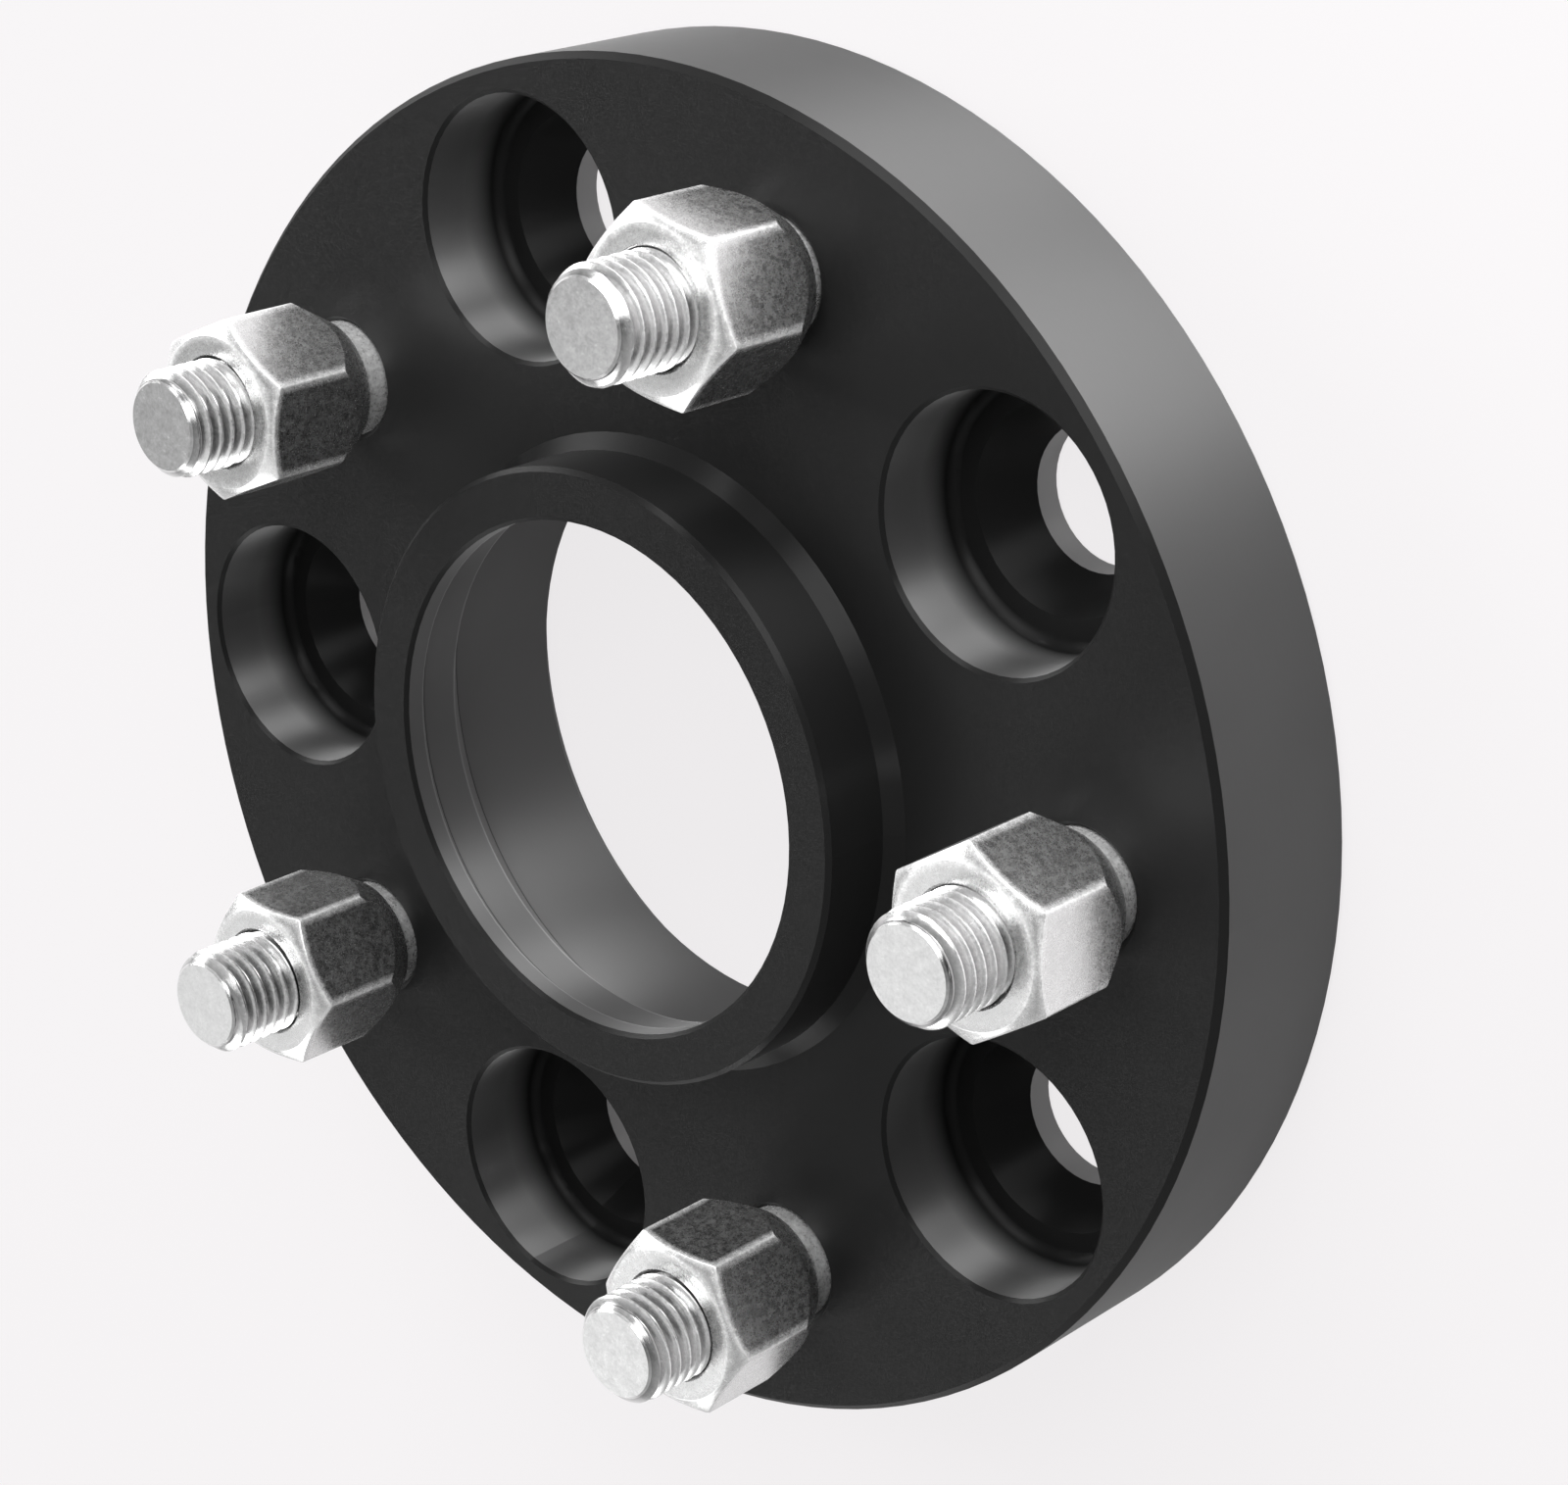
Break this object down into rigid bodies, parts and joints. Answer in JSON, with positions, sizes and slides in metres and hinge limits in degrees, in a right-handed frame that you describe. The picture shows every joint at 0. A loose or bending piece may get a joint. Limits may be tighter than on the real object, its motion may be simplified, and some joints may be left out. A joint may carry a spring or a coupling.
{
  "type": "hub-centric wheel spacer",
  "caption": "Round black disc that moves a wheel outward from its hub, with a raised centring lip, pressed-in studs carrying nuts, and deep conical lug pockets between them.",
  "frame": {"origin": "centre of the flat rear face, which goes against the vehicle's hub, on the wheel axis", "axes": "+Z along the wheel axis towards the wheel, +X through one stud"},
  "size_m": [0.1484, 0.1484, 0.0459],
  "materials": {
    "anodised_aluminium": "turned, satin black anodised",
    "stud_steel": "bright zinc plated, rolled thread",
    "nut_steel": "bright zinc plated"
  },
  "bodies": {
    "root": {"spacer_body": "anodised_aluminium", "wheel_stud_1": "stud_steel", "wheel_stud_2": "stud_steel", "wheel_stud_3": "stud_steel", "wheel_stud_4": "stud_steel", "wheel_stud_5": "stud_steel", "lug_nut_1": "nut_steel", "lug_nut_2": "nut_steel", "lug_nut_3": "nut_steel", "lug_nut_4": "nut_steel", "lug_nut_5": "nut_steel"}
  },
  "joints": []
}
